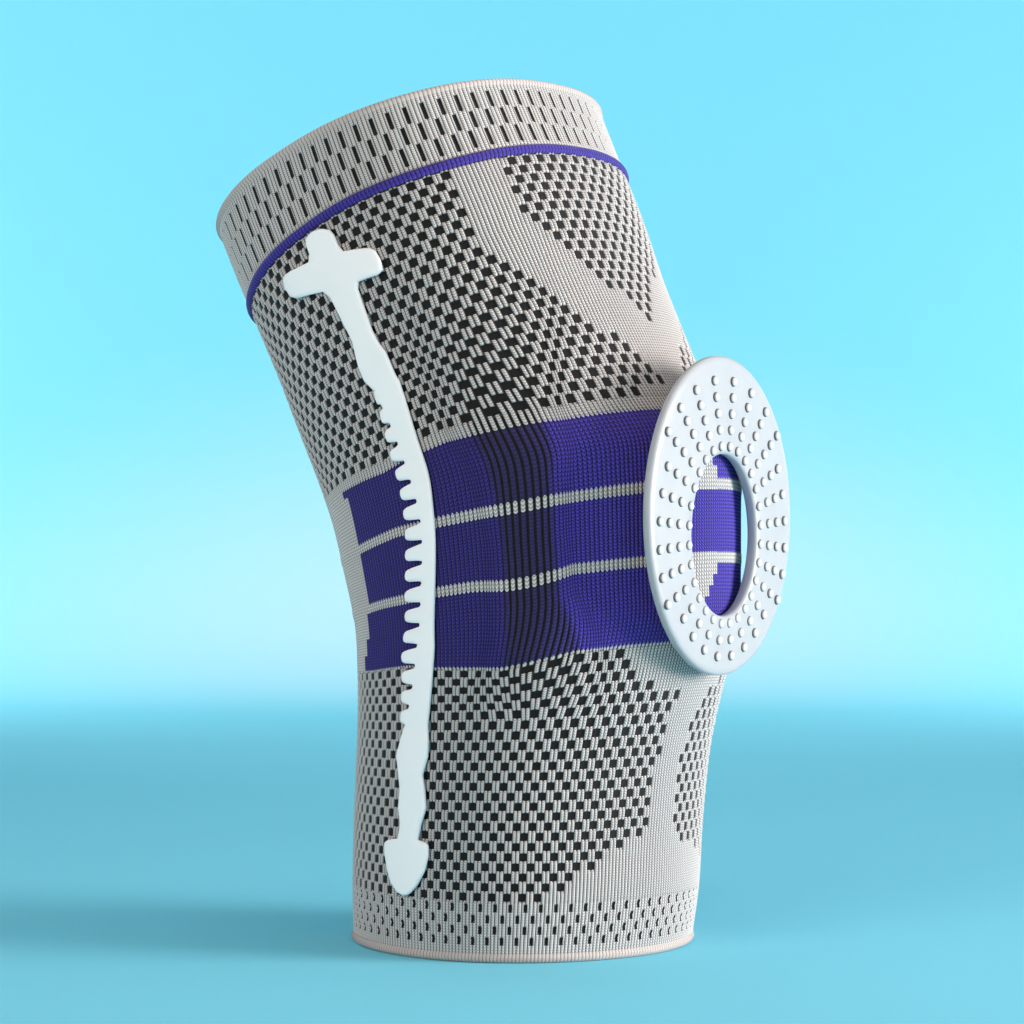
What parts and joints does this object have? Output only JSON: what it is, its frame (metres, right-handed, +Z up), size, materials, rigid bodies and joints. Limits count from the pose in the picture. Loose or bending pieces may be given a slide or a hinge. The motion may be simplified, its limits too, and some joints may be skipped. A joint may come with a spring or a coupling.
{
  "type": "knee sleeve",
  "caption": "Knit compression knee sleeve bent as worn, with violet bands across the knee, a nubbed silicone ring round the kneecap and a toothed white stay on each side.",
  "frame": {"origin": "below the middle of the part's bounding box, on the plane that the lower rim stands on", "axes": "+Z up along the lower leg, -Y forward past the kneecap, +X across the knee"},
  "size_m": [0.1386, 0.1936, 0.2919],
  "materials": {
    "grey_knit": "matte",
    "violet_knit": "matte",
    "silicone": "satin",
    "white_plastic": "satin"
  },
  "bodies": {
    "root": {"upper_cuff": "grey_knit", "violet_welt": "violet_knit", "knit_body": "grey_knit", "lower_cuff": "grey_knit", "patella_ring": "silicone", "side_stay_left": "white_plastic", "side_stay_right": "white_plastic"}
  },
  "joints": []
}
